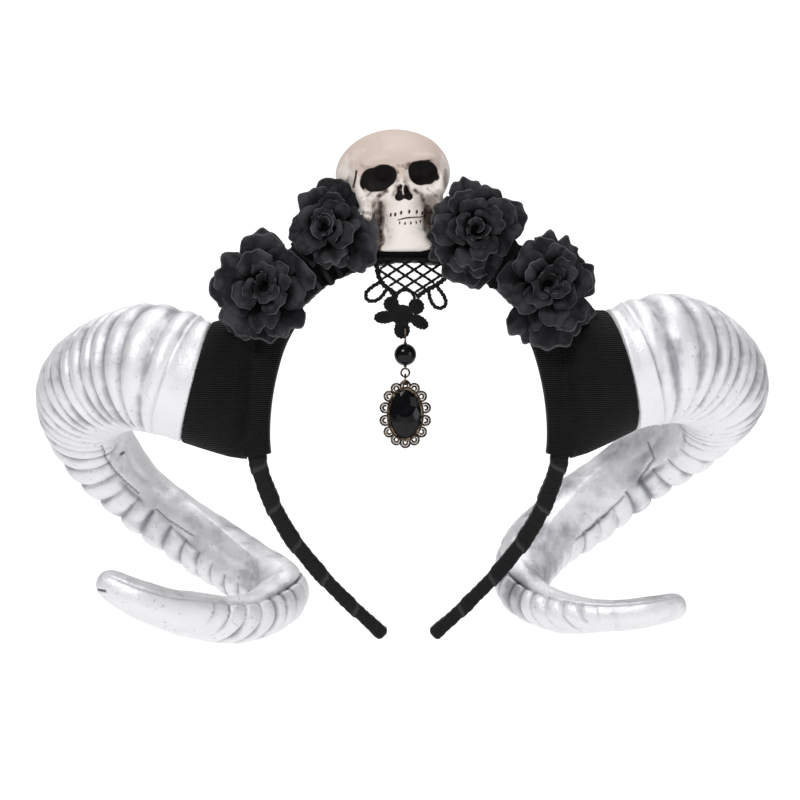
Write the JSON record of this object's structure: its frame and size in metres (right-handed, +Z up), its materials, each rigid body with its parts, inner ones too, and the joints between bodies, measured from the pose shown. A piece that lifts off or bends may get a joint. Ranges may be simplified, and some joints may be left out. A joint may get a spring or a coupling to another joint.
{
  "type": "ram horns headband",
  "caption": "Ribbon-wound hair band with curled ribbed horns in cloth collars, a small skull, black cloth roses, a lace drop, a bead and an oval pendant with a faceted stone.",
  "frame": {"origin": "top of the band's inner face, in the middle of the band's depth, where it rests on the crown of the head", "axes": "+X to the viewer's right as the front is seen, -Y to the front, +Z up"},
  "size_m": [0.344, 0.1354, 0.2359],
  "materials": {
    "ribbon_black": "black satin ribbon, wound",
    "horn_silver": "brushed silver-white paint",
    "grosgrain_black": "black grosgrain ribbon",
    "trim_black": "black ruffled cloth",
    "cast_ivory": "ivory with brown stain",
    "rose_black": "charcoal black cloth",
    "lace_black": "black cord lace",
    "bronze": "antique bronze",
    "gloss_black": "polished black"
  },
  "bodies": {
    "headpiece": {"headband": "ribbon_black", "left_horn": "horn_silver", "left_collar": "grosgrain_black", "right_horn": "horn_silver", "right_collar": "grosgrain_black", "trim_strip": "trim_black", "skull": "cast_ivory", "rose_1_outer_petals": "rose_black", "rose_1_middle_petals": "rose_black", "rose_1_inner_petals": "rose_black", "rose_1_bud": "rose_black", "rose_2_outer_petals": "rose_black", "rose_2_middle_petals": "rose_black", "rose_2_inner_petals": "rose_black", "rose_2_bud": "rose_black", "rose_3_outer_petals": "rose_black", "rose_3_middle_petals": "rose_black", "rose_3_inner_petals": "rose_black", "rose_3_bud": "rose_black", "rose_4_outer_petals": "rose_black", "rose_4_middle_petals": "rose_black", "rose_4_inner_petals": "rose_black", "rose_4_bud": "rose_black", "lace_drop": "lace_black"},
    "drop": {"drop_pin": "bronze", "drop_bead": "gloss_black"},
    "pendant": {"pendant_frame": "bronze", "pendant_stone": "gloss_black"}
  },
  "joints": [
    {"name": "drop_swing", "type": "hinge", "parent": "headpiece", "child": "drop", "pos_m": [-0.0015, -0.0077, -0.03001], "axis": [0, 1, 0], "range_deg": [-35, 35]},
    {"name": "pendant_swing", "type": "hinge", "parent": "drop", "child": "pendant", "pos_m": [-0.0015, -0.0077, -0.05291], "axis": [1, 0, 0], "range_deg": [-45, 45]}
  ]
}
